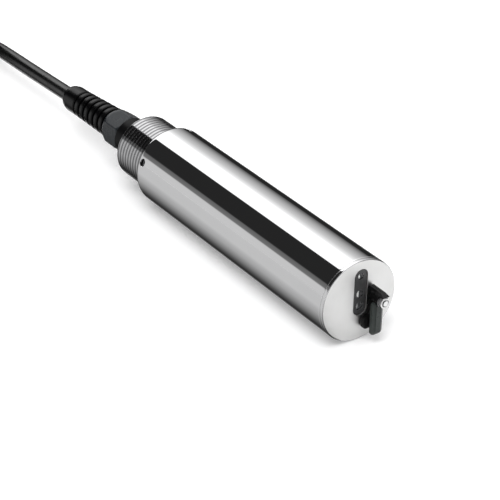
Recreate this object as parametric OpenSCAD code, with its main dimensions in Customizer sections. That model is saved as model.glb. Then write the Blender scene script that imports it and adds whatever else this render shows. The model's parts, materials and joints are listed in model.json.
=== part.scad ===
// Immersion turbidity probe: a polished tube with a wiped optical face,
// a threaded rear head, a cable gland with a ribbed strain relief, and a
// cable folded into a tied hank that ends in a round plug.
// +X runs along the probe towards the sensing face, +Z is up, and the probe
// lies on the plane z = 0. The origin is under the middle of the probe.

/* [Housing] */
// Outside diameter of the housing
body_d = 60; // [58:1:62]
// Length from the sensing face to the rear shoulder
body_len = 230; // [220:2:250]
// Wall thickness of the housing tube
wall = 3; // [2.5:0.5:3.5]
// Radius of the rounded edge at the rear shoulder
shoulder_r = 4; // [3:0.5:4]
// Width of the front cap's rim, from the face to the seam
rim_w = 2.8; // [2.4:0.2:3.4]
// Depth of the front cap behind the face
cap_len = 18; // [16:1:18]

/* [Rear thread] */
// Diameter over the crests of the rear thread
thread_d = 49.7; // [48:0.1:50]
// Length of the threaded part
thread_len = 36; // [32:1:40]
// Pitch of the rear thread
pitch = 3.5; // [3:0.5:3.5]
// Depth of the rear thread
thread_depth = 1.7; // [1.2:0.1:1.8]

/* [Set screws] */
// Number of set screws round the rear of the tube
screw_n = 4; // [3:1:6]
// Hole diameter of the set screws
screw_d = 5.6; // [4:0.2:6]
// Angle of the first set screw round the tube
screw_a = 67.5; // [60:0.5:80]

/* [Optical window] */
// Width of the black window plate
plate_w = 10.6; // [9.8:0.2:10.6]
// Height of the black window plate
plate_h = 34.6; // [33:0.2:34.6]
// Sideways distance of the windows from the axis
plate_y = 0.9; // [0.4:0.1:0.9]
// Depth of the plate's face below the sensing face
plate_sink = 0.8; // [0.4:0.1:1]
// Diameter of the lamp's window
lamp_d = 4.6; // [4:0.2:5]
// Diameter of the two detectors' windows
detector_d = 6; // [5:0.2:6]

/* [Wiper] */
// Sideways distance of the wiper's shaft from the axis
pivot_y = 8.9; // [8.9:0.1:9.2]
// Height of the wiper's shaft above the axis
pivot_z = 3.1; // [2.8:0.1:3.2]
// Diameter of the wiper's shaft
shaft_d = 4; // [3.6:0.2:4]
// Width of the wiper's hub
hub_w = 6; // [5.4:0.2:6.2]
// Width of the wiper's head
head_w = 9; // [8.6:0.2:9.4]
// Distance from the shaft to the blade's tip
blade_reach = 27; // [25:0.2:28]
// Gap between the wiper and the sensing face
wiper_gap = 0.3; // [0.3:0.1:0.5]

/* [Gland and boot] */
// Width across the flats of the gland's dome nut
nut_af = 27; // [26:0.5:27.5]
// Length of the black gland body behind the thread
gland_len = 19; // [17:1:20]
// Length of the dome nut
nut_len = 23; // [21:1:24]
// Diameter of the boot's first rib
boot_d1 = 24.5; // [23.5:0.5:25]
// Diameter of the boot's last rib
boot_d2 = 21.5; // [20:0.5:22]
// Number of ribs on the boot
rib_n = 6; // [5:1:6]

/* [Cable] */
// Diameter of the cable
cable_d = 12; // [11:0.5:12]
// Straight length of the hank's runs
hank_run = 105; // [95:1:115]
// Turns side by side in the hank
hank_wide = 3; // [2:1:3]
// Layers in the hank
hank_layers = 7; // [5:1:7]
// Width of each tie
tie_w = 18; // [14:1:20]

/* [Plug] */
// Diameter of the plug's coupling ring
ring_d = 24; // [22:1:24]
// Number of contacts in the plug
contact_n = 7; // [4:1:7]

/* [Hidden] */
$fn = 64;

body_r = body_d / 2;
axis_z = body_r;
bore_r = body_r - wall;                 // bore of the tube
seat_r = body_r - shoulder_r - 0.5;     // bore of the tube's thick rear end
boot_run = 63;                          // the boot's length along X
boot_drop = 3;                          // how far the boot's tip hangs down
boot_tilt = atan(boot_drop / boot_run);
boot_len = norm([boot_run, boot_drop]);
nut_x = -body_len - thread_len - gland_len;  // front end of the dome nut
boot_x = nut_x - nut_len - 4;           // where the boot bends down
tip_out = 17;                           // how far the wiper stands out
face_x = (-boot_x + boot_run - tip_out) / 2;
exit = [face_x + boot_x - boot_run, 0, axis_z - boot_drop];
thread_r = thread_d / 2;
plate_z = 5.9;                          // middle of the window plate
lamp_z = 17.6;
detector_z = [4.3, -4.8];
cable_r = cable_d / 2;

// Hank: a racetrack of folds, standing on its ties.
hank_z = 1.4;
fold_r = 3 * cable_d;                   // centre of the innermost fold
hank_in = fold_r - cable_r;
hank_out = hank_in + hank_wide * cable_d;
hank_h = hank_layers * cable_d;
hank_y = -36;
hank_front = exit[0] - 246;             // centre of the front folds
hank_rear = hank_front - hank_run;
hank_top = hank_z + hank_h;
leg_y = (hank_in + hank_out) / 2;
tie_t = 1.2;

// The plug lies on top of the hank's near leg, its mouth towards -X.
plug_y = hank_y + leg_y;
plug_x = hank_front - 6;
plug_z = hank_top + ring_d / 2 + 0.4;

// Route of the cable from the boot to the hank.
run_pts = [
    exit,
    [exit[0] - 34, 0, exit[2] - 1.5],
    [exit[0] - 68, 0, exit[2] - 3],
    [exit[0] - 96, 0, exit[2] - 4],
    [exit[0] - 120, 0.5, exit[2] - 5.5],
    [exit[0] - 148, 3.5, exit[2] - 10],
    [exit[0] - 180, 11, 11.5],
    [exit[0] - 208, 19, 7.9],
    [exit[0] - 230, 23, 7.4],
    [hank_front, 24, 7.4]
];
// Route of the last stretch, over the top of the hank to the plug.
tail_top = hank_top + cable_r + 1.4;
lane_y = hank_y - fold_r;
tail_pts = concat(
    [[hank_front - 52, lane_y, hank_top - cable_r],
     [hank_front - 36, lane_y, hank_top - cable_r + 3],
     [hank_front - 18, lane_y, tail_top - 2.5],
     [hank_front, lane_y, tail_top]],
    [for (a = [20 : 20 : 160]) let (r = fold_r + (leg_y - fold_r) * a / 180)
        [hank_front + r * sin(a), hank_y - r * cos(a), tail_top + (plug_z - tail_top) * max(0, a - 90) / 90]],
    [[hank_front, plug_y, plug_z], [plug_x, plug_y, plug_z]]
);

function unit(v) = v / norm(v);
function cat(p, i, t) = let (n = len(p) - 1, a = p[max(0, i - 1)], b = p[i], c = p[min(n, i + 1)], d = p[min(n, i + 2)])
    0.5 * (2 * b + (c - a) * t + (2 * a - 5 * b + 4 * c - d) * t * t + (3 * b - a - 3 * c + d) * t * t * t);
function smooth(p, m) = concat([for (i = [0 : len(p) - 2], k = [0 : m - 1]) cat(p, i, k / m)], [p[len(p) - 1]]);
function along(p, i) = unit(p[min(len(p) - 1, i + 1)] - p[max(0, i - 1)]);

// A round tube swept along points: one closed polyhedron.
module sweep(p, r, sides = 12) {
    rings = [for (i = [0 : len(p) - 1])
        let (t = along(p, i), u = unit(cross([0, 0, 1], t)), v = cross(t, u))
        [for (k = [0 : sides - 1]) p[i] + r * (cos(360 * k / sides) * u + sin(360 * k / sides) * v)]];
    pts = [for (q = rings) for (c = q) c];
    n = len(p);
    side = [for (i = [0 : n - 2], k = [0 : sides - 1])
        [i * sides + k, (i + 1) * sides + k, (i + 1) * sides + (k + 1) % sides, i * sides + (k + 1) % sides]];
    polyhedron(pts, concat(side, [[for (k = [0 : sides - 1]) k]], [[for (k = [sides - 1 : -1 : 0]) (n - 1) * sides + k]]), convexity = 6);
}

// Local +Z becomes +X, measured from the sensing face on the probe's axis.
module on_axis(x = 0) translate([face_x + x, 0, axis_z]) rotate([0, 90, 0]) children();
module on_pivot(x = 0) translate([face_x + x, pivot_y, axis_z + pivot_z]) rotate([0, 90, 0]) children();
// A turned piece: the outline's x is the radius and its y is the place along X.
module turned() on_axis() rotate_extrude($fn = 96) children();
// A flat outline in the plane of the face, extruded from x0 to x1.
module slab(x0, x1) translate([face_x + x0, 0, axis_z]) rotate([90, 0, 90]) linear_extrude(x1 - x0) children();
module ring2d(r0, r1, x0, x1) translate([r0, x0]) square([r1 - r0, x1 - x0]);
module oring(r, s, x) turned() translate([r, x]) circle(s, $fn = 24);
module obround(w, h) { square([w, h - w], center = true); for (s = [-1, 1]) translate([0, s * (h - w) / 2]) circle(w / 2); }
module round_rect(w, h, r) {
    square([w - 2 * r, h], center = true);
    square([w, h - 2 * r], center = true);
    for (x = [-1, 1], y = [-1, 1]) translate([x * (w / 2 - r), y * (h / 2 - r)]) circle(r, $fn = 32);
}
module screw_axes(r0, r1, d) for (i = [0 : screw_n - 1]) on_axis(-body_len + 6.5)
    rotate([0, 0, screw_a + 90 + 360 * i / screw_n]) translate([r0, 0, 0]) rotate([0, 90, 0]) cylinder(d = d, h = r1 - r0);
module hex2d(af) circle(af / sqrt(3), $fn = 6);
module on_plug(x = 0) translate([plug_x - x, plug_y, plug_z]) rotate([0, -90, 0]) children();

module housing_tube() color("lightsteelblue") difference() {
    turned() difference() {
        union() {
            ring2d(seat_r, body_r, -body_len + shoulder_r, -rim_w - 0.5);
            ring2d(seat_r, body_r - 0.4, -body_len + shoulder_r, -rim_w - 0.1);
            ring2d(seat_r, body_r - shoulder_r, -body_len, -body_len + shoulder_r);
            intersection() {
                translate([body_r - shoulder_r, -body_len + shoulder_r]) circle(shoulder_r);
                ring2d(seat_r, body_r, -body_len, -body_len + shoulder_r);
            }
        }
        ring2d(0, bore_r, -body_len + 26, 0);
    }
    screw_axes(seat_r - 1, body_r + 1, screw_d);
}

module front_cap() color("gainsboro") difference() {
    turned() {
        difference() {
            ring2d(0, bore_r - 0.05, -cap_len, -rim_w);
            ring2d(0, bore_r - 4, -cap_len - 1, -6);
            ring2d(bore_r - 1.9, bore_r, -10.4, -7.6);
        }
        polygon([[0, -rim_w], [body_r - 0.4, -rim_w], [body_r, -rim_w + 0.4], [body_r, -0.6], [body_r - 0.6, 0], [0, 0]]);
    }
    slab(-plate_sink - 2.02, 1) translate([plate_y, plate_z]) obround(plate_w + 0.1, plate_h + 0.1);
    slab(-7, 0) translate([plate_y, plate_z]) obround(7, 31);
    on_pivot(-20) cylinder(r = shaft_d / 2 + 0.3, h = 30);
    on_pivot(-20) cylinder(r = 3.65, h = 20 - 2.9);
}

module cap_seal() color("dimgray") oring(bore_r - 1, 0.85, -9);

module window_plate() color("black") difference() {
    slab(-plate_sink - 2, -plate_sink) translate([plate_y, plate_z]) obround(plate_w, plate_h);
    on_axis(-20) translate([-lamp_z, plate_y, 0]) cylinder(d = lamp_d + 0.1, h = 30);
    for (z = detector_z) on_axis(-20) translate([-z, plate_y, 0]) cylinder(d = detector_d + 0.1, h = 30);
}

// A slightly crowned disc of glass.
module window(z, d) on_axis(-plate_sink - 2) translate([-z, plate_y, 0]) intersection() {
    cylinder(d = d, h = 3);
    translate([0, 0, 2.45 - 9]) sphere(9, $fn = 64);
}
module lamp_window() color("lightyellow") window(lamp_z, lamp_d);
module detector_windows() color("slategray") for (z = detector_z) window(z, detector_d);

module window_gasket() color("dimgray") difference() {
    slab(-plate_sink - 3.2, -plate_sink - 2.1) translate([plate_y, plate_z]) obround(6.8, 30.8);
    slab(-10, 0) translate([plate_y, plate_z]) obround(4.4, 28.4);
}

module optics_block() color("black") difference() {
    slab(-20, -6.2) translate([-2, plate_z - 0.6]) round_rect(10.6, 29, 1.5);
    on_axis(-12) translate([-lamp_z, plate_y, 0]) cylinder(d = 3.4, h = 10);
    for (z = detector_z) on_axis(-12) translate([-z, plate_y, 0]) cylinder(d = 3.4, h = 10);
}
module lamp() color("lemonchiffon") on_axis(-11.9) translate([-lamp_z, plate_y, 0]) { cylinder(d = 3.3, h = 5); translate([0, 0, 5]) cylinder(d = 3, h = 1.5); }
module photodiodes() color("slateblue") for (z = detector_z) on_axis(-11.9) translate([-z, plate_y, 0]) cylinder(d = 3.3, h = 4);

module shaft_seal() color("darkslategray") on_pivot(-4.9) difference() {
    cylinder(r = 3.6, h = 1.9);
    translate([0, 0, -1]) cylinder(r = shaft_d / 2 + 0.05, h = 5);
}
module shaft_bush() color("goldenrod") on_pivot(-16) difference() {
    union() { cylinder(r = 3.6, h = 11); cylinder(r = 4.6, h = 9.95); }
    translate([0, 0, -1]) cylinder(r = shaft_d / 2 + 0.05, h = 14);
}

post_a = [20, 130, 250];
module motor_bracket() color("silver") difference() {
    union() {
        on_axis(-34) cylinder(r = 22.5, h = 2);
        for (a = post_a) on_axis(-32) rotate([0, 0, a]) translate([20, 0, 0]) cylinder(r = 2.4, h = 25.9);
    }
    on_pivot(-40) cylinder(r = 3, h = 12);
    for (a = post_a) on_axis(-40) rotate([0, 0, a]) translate([20, 0, 0]) cylinder(r = 1.3, h = 14);
}
module bracket_screws() color("gray") for (a = post_a) on_axis(-36) rotate([0, 0, a]) translate([20, 0, 0]) {
    cylinder(r = 2.2, h = 1.9);
    translate([0, 0, 1.9]) cylinder(r = 1.25, h = 7);
}
module wiper_gearbox() color("darkgray") difference() {
    union() { on_pivot(-54) cylinder(r = 8, h = 19.9); on_pivot(-34.2) cylinder(r = 2.9, h = 1.5); }
    on_pivot(-47) cylinder(r = 1.55, h = 20);
}
module wiper_motor() color("gainsboro") { on_pivot(-82) cylinder(r = 7.8, h = 27.9); on_pivot(-84) cylinder(r = 3, h = 2); }

module board_carrier() color("black") difference() {
    translate([face_x - body_len + 32, -23, axis_z - 13]) cube([112, 46, 4]);
    translate([face_x - body_len + 36, -19, axis_z - 11]) cube([104, 38, 4]);
}
module main_board() color("seagreen") translate([face_x - body_len + 34, -20.5, axis_z - 8.9]) cube([108, 41, 1.6]);
module board_parts() translate([face_x - body_len + 34, 0, axis_z - 7.3]) {
    color("black") translate([20, -8, 0]) cube([14, 14, 1.6]);
    color("black") translate([56, 4, 0]) cube([9, 9, 2]);
    color("beige") translate([2, -9, 0]) cube([7, 18, 7]);
    color("beige") translate([98, -9, 0]) cube([7, 18, 7]);
    color("darkslateblue") for (x = [46, 58, 70]) translate([x, -14, 0]) cylinder(r = 4, h = 9);
}
module inner_leads() color("white") for (i = [0 : 3]) translate([0, -4.5 + 3 * i, 0]) on_axis(-body_len - 19.9) cylinder(r = 1, h = 50, $fn = 24);

module rear_head() color("silver") difference() {
    turned() difference() {
        polygon(concat(
            [[8, -body_len + 25.5], [seat_r - 0.05, -body_len + 25.5], [seat_r - 0.05, -body_len]],
            [[thread_r - thread_depth, -body_len]],
            [for (i = [0 : floor((thread_len - 1) / pitch) - 1]) let (x = -body_len - 1 - i * pitch)
                each [[thread_r - thread_depth, x], [thread_r, x - 0.28 * pitch], [thread_r, x - 0.57 * pitch], [thread_r - thread_depth, x - 0.85 * pitch]]],
            [[thread_r - thread_depth, -body_len - thread_len], [8, -body_len - thread_len]]));
        ring2d(0, 16, -body_len + 6, -body_len + 30);
        for (x = [14, 20]) ring2d(seat_r - 1.9, seat_r + 1, -body_len + x - 1.4, -body_len + x + 1.4);
    }
    screw_axes(19, seat_r + 1, 5);
}
module head_seals() color("dimgray") for (x = [14, 20]) oring(seat_r - 1, 0.85, -body_len + x);
module set_screws() color("dimgray") difference() {
    screw_axes(19.5, body_r - 2, 4.9);
    for (i = [0 : screw_n - 1]) on_axis(-body_len + 6.5) rotate([0, 0, screw_a + 90 + 360 * i / screw_n])
        translate([body_r - 4.5, 0, 0]) rotate([0, 90, 0]) cylinder(d = 2.9, h = 5, $fn = 6);
}

module gland_body() color("black") on_axis() difference() {
    rotate_extrude() polygon([[6.3, -body_len - 18], [7.9, -body_len - 18], [7.9, -body_len - thread_len - 0.02], [15, -body_len - thread_len - 0.02], [15, nut_x + 0.02], [10.4, nut_x + 0.02], [10.4, nut_x - 8], [6.3, nut_x - 8]]);
}
module gland_seal() color("darkslategray") on_axis() rotate_extrude() polygon([[6.1, nut_x - 20], [8.5, nut_x - 20], [10.2, nut_x - 8.1], [6.1, nut_x - 8.1]]);
module gland_nut() color("slategray") difference() {
    intersection() {
        on_axis(nut_x - nut_len) rotate([0, 0, -3]) linear_extrude(nut_len) hex2d(nut_af);
        turned() polygon([[0, nut_x - nut_len], [boot_d1 / 2 - 0.2, nut_x - nut_len], [16, nut_x - nut_len + 9], [16, nut_x - 1], [14.2, nut_x], [0, nut_x]]);
    }
    turned() polygon([[0, nut_x - nut_len - 1], [10.6, nut_x - nut_len - 1], [10.6, nut_x + 1], [0, nut_x + 1]]);
}

module on_boot(x = 0) translate([face_x + boot_x, 0, axis_z]) rotate([0, -90 - boot_tilt, 0]) translate([0, 0, x]) children();
module cable_entry() color("black") {
    on_axis(boot_x + 0.3) cylinder(d = cable_d - 0.2, h = -boot_x - body_len - 20.3);
    on_boot(0.3) cylinder(d = cable_d - 0.2, h = boot_len - 0.3);
}
rib_pitch = 7.7;
module strain_boot() color("black") difference() {
    union() {
        on_boot() for (i = [0 : rib_n - 1]) let (d = boot_d1 + (boot_d2 - boot_d1) * i / rib_n)
            translate([0, 0, -2 + i * rib_pitch]) cylinder(d = d, h = 4.6);
        on_boot(-2) cylinder(d1 = boot_d1 - 5, d2 = boot_d2 - 4, h = rib_n * rib_pitch);
        on_boot(rib_n * rib_pitch - 3) cylinder(d = boot_d2, h = boot_len - rib_n * rib_pitch - 2);
        on_boot(boot_len - 5) cylinder(d1 = boot_d2, d2 = boot_d2 - 5, h = 4.7);
        on_axis(nut_x - nut_len - 1.8) cylinder(d = 21, h = 9);
    }
    on_boot(0) cylinder(d = cable_d, h = boot_len + 1);
    on_axis(boot_x) cylinder(d = cable_d + 0.6, h = 30);
    on_boot() sphere(d = cable_d + 0.4);
    on_axis(nut_x - nut_len + 3) cylinder(d = 30, h = 30);
}

// Wiper, drawn at rest: the blade points down.
module wiper_shaft() color("silver") {
    on_pivot(-24) cylinder(d = shaft_d, h = 24 + 16);
    on_pivot(16 - 5.2) intersection() { cylinder(d = shaft_d, h = 6.2); sphere(6.2, $fn = 64); }
}
module drive_shaft() color("gray") on_pivot(-46) cylinder(d = 3, h = 21.9);
module shaft_coupling() color("goldenrod") difference() {
    on_pivot(-29.5) cylinder(r = 4.4, h = 11.5);
    on_pivot(-30) cylinder(d = 3.05, h = 6.02);
    on_pivot(-24.02) cylinder(d = shaft_d + 0.05, h = 8);
}
arm_lo = pivot_z - blade_reach;         // tip of the blade, from the axis
blade_y = pivot_y - 0.4;                // middle of the head
hub_lo = -4;                            // bottom of the hub block
head_hi = pivot_z - 2.4;                // top of the blade's head
module wiper_arm() color("black") difference() {
    union() {
        // hub block beside the window plate, narrower at its top, with a sloping hood over the nut
        intersection() {
            translate([face_x, pivot_y + hub_w / 2, axis_z]) rotate([90, 0, 0]) linear_extrude(hub_w)
                polygon([[0.6, hub_lo], [0.6, 9.4], [1.6, 10.3], [13.8, 10], [16.8, 7.9], [16.8, pivot_z + 4.4], [12.4, pivot_z + 4.4], [12.4, pivot_z - 2.3], [6.9, pivot_z - 2.3], [6.9, hub_lo]]);
            slab(0, 18) translate([pivot_y, 0]) polygon([[-hub_w / 2, hub_lo - 1], [-hub_w / 2, 7.4], [-2.1, 10.3], [1.3, 10.3], [hub_w / 2, 7.4], [hub_w / 2, hub_lo - 1]]);
        }
        // tongue between the blade's lip and head
        slab(4.4, 6.9) translate([blade_y, (arm_lo + 3.6 + pivot_z - 2.6) / 2]) round_rect(7.6, pivot_z - 2.6 - arm_lo - 3.6, 2);
    }
    on_pivot(0) cylinder(d = shaft_d + 0.04, h = 20);
}
// Wiping lip: narrow beside the window plate, wide below it.
lip_lo = arm_lo + 3.1;
module wiper_lip() color("black") slab(wiper_gap, 4.38) difference() {
    translate([(1.2 + 13.8) / 2, (lip_lo + hub_lo - 0.1) / 2]) round_rect(12.6, hub_lo - 0.1 - lip_lo, 2.6);
    translate([-2, -11.9]) square([8.4, 12]);
}
// Outer half that clamps the lip to the arm's tongue.
module blade_holder() color("darkslategray") {
    slab(6.92, 8.9) translate([blade_y, (arm_lo + head_hi) / 2]) round_rect(head_w, head_hi - arm_lo, 2.4);
    slab(8.9, 10.8) difference() {
        translate([blade_y, (arm_lo + head_hi) / 2]) round_rect(head_w - 1.2, head_hi - arm_lo - 0.8, 2);
        translate([pivot_y, pivot_z]) circle(4.9);
    }
}
module wiper_washer() color("silver") on_pivot(12.42) difference() { cylinder(r = 4.1, h = 0.8); translate([0, 0, -1]) cylinder(d = shaft_d + 0.04, h = 3); }
module wiper_nut() color("silver") on_pivot(13.24) difference() {
    intersection() { rotate([0, 0, 30]) cylinder(d = 8.3, h = 2.9, $fn = 6); cylinder(r1 = 4.1, r2 = 3.7, h = 2.9, $fn = 64); }
    translate([0, 0, -1]) cylinder(d = shaft_d + 0.04, h = 6);
}

module cable_run() color("black") sweep(smooth(run_pts, 1), cable_r);
module stadium(r) { translate([0, -r]) square([hank_run, 2 * r]); circle(r, $fn = 96); translate([hank_run, 0]) circle(r, $fn = 96); }
module cable_hank() color("black") translate([hank_rear, hank_y, hank_z]) linear_extrude(hank_h) difference() { stadium(hank_out); stadium(hank_in); }
module tie(x, y) translate([x, y, 0.1]) difference() {
    w = hank_wide * cable_d + 0.2;
    translate([-tie_w / 2, -w / 2 - tie_t, 0]) cube([tie_w, w + 2 * tie_t, hank_h + 1.3 + tie_t + 0.1]);
    translate([-tie_w, -w / 2, tie_t]) cube([2 * tie_w, w, hank_h + 0.2]);
}
module hank_ties() color("dimgray") { tie(hank_rear + 14, hank_y + leg_y); tie(hank_rear + 28, hank_y - leg_y); }
module cable_tail() color("black") sweep(tail_pts, cable_r);

module plug_boot() color("black") on_plug() { cylinder(d1 = 15, d2 = 19, h = 20); for (i = [0 : 3]) translate([0, 0, 2 + i * 4.5]) cylinder(d = 17 + i * 0.8, h = 2.4); }
module plug_body() color("dimgray") difference() {
    on_plug(20) { cylinder(d = 20, h = 27); translate([0, 0, 26]) cylinder(d = 19, h = 21); translate([0, 0, 12]) cylinder(d = 21.5, h = 3); }
    on_plug(58) cylinder(d = 16.1, h = 20);
}
module plug_insert() color("black") on_plug(58.05) cylinder(d = 16, h = 8.9);
module plug_contacts() color("gold") on_plug(66.95) {
    for (i = [1 : contact_n - 1]) rotate([0, 0, 360 * i / (contact_n - 1)]) translate([4.6, 0, 0]) cylinder(r = 0.8, h = 0.6, $fn = 24);
    cylinder(r = 0.8, h = 0.6, $fn = 24);
}
module plug_seal() color("orangered") on_plug() rotate_extrude() translate([9.02, 67.85]) circle(0.8, $fn = 24);
module plug_ring() color("silver") difference() {
    on_plug(47.4) union() {
        cylinder(d = ring_d - 1.2, h = 21.5);
        translate([0, 0, 2]) cylinder(d = ring_d, h = 15);
    }
    on_plug(40) cylinder(d = 19.1, h = 27.1);
    on_plug(66) cylinder(d = 21, h = 20);
    for (i = [0 : 23]) on_plug(50) rotate([0, 0, 15 * i]) translate([ring_d / 2 + 0.5, 0, 0]) cylinder(r = 1, h = 13, $fn = 16);
}

housing_tube();
front_cap();
cap_seal();
window_plate();
window_gasket();
lamp_window();
detector_windows();
optics_block();
lamp();
photodiodes();
shaft_bush();
shaft_seal();
motor_bracket();
bracket_screws();
wiper_gearbox();
wiper_motor();
board_carrier();
main_board();
board_parts();
inner_leads();
rear_head();
head_seals();
set_screws();
gland_body();
gland_seal();
gland_nut();
cable_entry();
strain_boot();
wiper_shaft();
drive_shaft();
shaft_coupling();
wiper_arm();
wiper_lip();
blade_holder();
wiper_washer();
wiper_nut();
cable_run();
cable_hank();
hank_ties();
cable_tail();
plug_boot();
plug_body();
plug_insert();
plug_contacts();
plug_seal();
plug_ring();
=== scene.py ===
"""Looks for an immersion turbidity probe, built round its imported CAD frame.

The helpers take millimetres. On the probe, x is measured from the sensing face and z from the
probe's axis, so that the numbers match the part's own dimensions.
"""

import json
import math

import bmesh
import bpy
import numpy as np
from mathutils import Matrix, Vector
from mathutils.geometry import tessellate_polygon


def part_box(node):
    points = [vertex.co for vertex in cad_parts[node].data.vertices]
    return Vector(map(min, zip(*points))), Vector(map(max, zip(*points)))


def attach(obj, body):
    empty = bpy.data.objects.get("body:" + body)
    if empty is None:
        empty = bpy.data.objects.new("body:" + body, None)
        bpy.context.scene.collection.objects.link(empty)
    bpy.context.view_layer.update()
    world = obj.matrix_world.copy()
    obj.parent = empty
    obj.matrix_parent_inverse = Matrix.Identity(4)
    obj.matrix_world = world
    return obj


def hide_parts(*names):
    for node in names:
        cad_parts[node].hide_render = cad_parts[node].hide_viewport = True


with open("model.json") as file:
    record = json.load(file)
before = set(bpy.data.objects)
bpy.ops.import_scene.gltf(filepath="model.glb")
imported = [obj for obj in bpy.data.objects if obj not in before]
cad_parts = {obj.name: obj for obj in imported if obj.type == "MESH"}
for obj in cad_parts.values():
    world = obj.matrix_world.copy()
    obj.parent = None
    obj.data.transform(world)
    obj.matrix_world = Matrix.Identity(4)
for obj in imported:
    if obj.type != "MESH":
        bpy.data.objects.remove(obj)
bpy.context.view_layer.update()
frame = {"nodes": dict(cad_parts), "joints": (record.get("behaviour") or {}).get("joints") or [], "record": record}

MM = 0.001
_cap_lo, _cap_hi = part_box("front_cap")
FX = _cap_hi.x / MM
AZ = (_cap_lo.z + _cap_hi.z) / 2 / MM
_pivot = [j for j in frame["joints"] if j["name"] == "wiper_turn"][0]["pos_m"]
PY, PZ = _pivot[1] / MM, _pivot[2] / MM - AZ
scene = bpy.context.scene


# ---------------------------------------------------------------- camera
def make_camera():
    yaw, pitch, tilt = (math.radians(v) for v in (145.441, -30.689, 1.57))
    f = Vector((math.cos(pitch) * math.cos(yaw), math.cos(pitch) * math.sin(yaw), math.sin(pitch)))
    r = f.cross(Vector((0, 0, 1))).normalized()
    u = r.cross(f)
    turn = Matrix.Rotation(tilt, 3, "X")
    f, r, u = turn @ f, turn @ r, turn @ u
    cam = bpy.data.objects.new("camera", bpy.data.cameras.new("camera"))
    scene.collection.objects.link(cam)
    cam.data.lens, cam.data.sensor_width = 133.2, 36.0
    cam.data.clip_start, cam.data.clip_end = 0.05, 50.0
    spot = Vector((0.97929, -0.65494, 0.65642))
    cam.matrix_world = Matrix(
        ((r.x, u.x, -f.x, spot.x), (r.y, u.y, -f.y, spot.y), (r.z, u.z, -f.z, spot.z), (0, 0, 0, 1))
    )
    scene.camera = cam


make_camera()
scene.view_settings.view_transform = "Standard"
scene.view_settings.look = "None"


# ---------------------------------------------------------------- materials
def _nodes(name):
    m = bpy.data.materials.new(name)
    m.use_nodes = True
    nt = m.node_tree
    nt.nodes.clear()
    out = nt.nodes.new("ShaderNodeOutputMaterial")
    return m, nt, out


def _noise(nt, coords, scale, stretch=(1, 1, 1), detail=3.0, rough=0.55):
    mp = nt.nodes.new("ShaderNodeMapping")
    mp.inputs["Scale"].default_value = stretch
    nt.links.new(coords, mp.inputs["Vector"])
    n = nt.nodes.new("ShaderNodeTexNoise")
    n.inputs["Scale"].default_value = scale
    n.inputs["Detail"].default_value = detail
    n.inputs["Roughness"].default_value = rough
    nt.links.new(mp.outputs["Vector"], n.inputs["Vector"])
    return n.outputs["Fac"]


def _ramp(nt, fac, stops, mode="LINEAR"):
    rp = nt.nodes.new("ShaderNodeValToRGB")
    rp.color_ramp.interpolation = mode
    while len(rp.color_ramp.elements) < len(stops):
        rp.color_ramp.elements.new(0.5)
    for e, (pos, col) in zip(rp.color_ramp.elements, stops):
        e.position = pos
        e.color = (*col, 1) if len(col) == 3 else col
    nt.links.new(fac, rp.inputs["Fac"])
    return rp.outputs["Color"]


def surface(
    name,
    base,
    rough,
    metal=0.0,
    spec=0.5,
    vary=0.12,
    rough_vary=0.05,
    cloud=90.0,
    grain=2600.0,
    grain_stretch=(1, 1, 1),
    bump=0.15,
    depth=0.00002,
    coat=0.0,
    sheen=0.0,
    transmission=0.0,
    ior=1.5,
    dust=0.0,
    weave=None,
    aniso=0.0,
):
    """A shader with clouded colour, clouded roughness and fine grain, all from noise in object space."""
    m, nt, out = _nodes(name)
    bs = nt.nodes.new("ShaderNodeBsdfPrincipled")
    nt.links.new(bs.outputs["BSDF"], out.inputs["Surface"])
    co = nt.nodes.new("ShaderNodeTexCoord").outputs["Object"]
    c = np.array(base[:3], float)
    lo, hi = np.clip(c * (1 - vary), 0, 1), np.clip(c * (1 + vary), 0, 1)
    cl = _noise(nt, co, cloud)
    stops = [(0.3, tuple(lo)), (0.7, tuple(hi))]
    if dust:
        stops.append((0.86, tuple(np.clip(hi + dust, 0, 1))))
    nt.links.new(_ramp(nt, cl, stops), bs.inputs["Base Color"])
    mr = nt.nodes.new("ShaderNodeMapRange")
    mr.inputs["From Min"].default_value = 0.3
    mr.inputs["From Max"].default_value = 0.7
    mr.inputs["To Min"].default_value = max(0.02, rough - rough_vary)
    mr.inputs["To Max"].default_value = min(1.0, rough + rough_vary)
    nt.links.new(_noise(nt, co, cloud * 2.3, detail=4), mr.inputs["Value"])
    nt.links.new(mr.outputs["Result"], bs.inputs["Roughness"])
    bs.inputs["Metallic"].default_value = metal
    bs.inputs["Specular IOR Level"].default_value = spec
    bs.inputs["Coat Weight"].default_value = coat
    bs.inputs["Sheen Weight"].default_value = sheen
    bs.inputs["Transmission Weight"].default_value = transmission
    bs.inputs["IOR"].default_value = ior
    bs.inputs["Anisotropic"].default_value = aniso
    if weave:
        wv = nt.nodes.new("ShaderNodeTexWave")
        wv.wave_type, wv.bands_direction = "BANDS", "DIAGONAL"
        wv.inputs["Scale"].default_value = weave
        wv.inputs["Distortion"].default_value = 0.8
        nt.links.new(co, wv.inputs["Vector"])
        height = wv.outputs["Fac"]
    else:
        height = _noise(nt, co, grain, grain_stretch, detail=2)
    if bump:
        bp = nt.nodes.new("ShaderNodeBump")
        bp.inputs["Strength"].default_value = bump
        bp.inputs["Distance"].default_value = depth
        nt.links.new(height, bp.inputs["Height"])
        nt.links.new(bp.outputs["Normal"], bs.inputs["Normal"])
    return m


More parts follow.
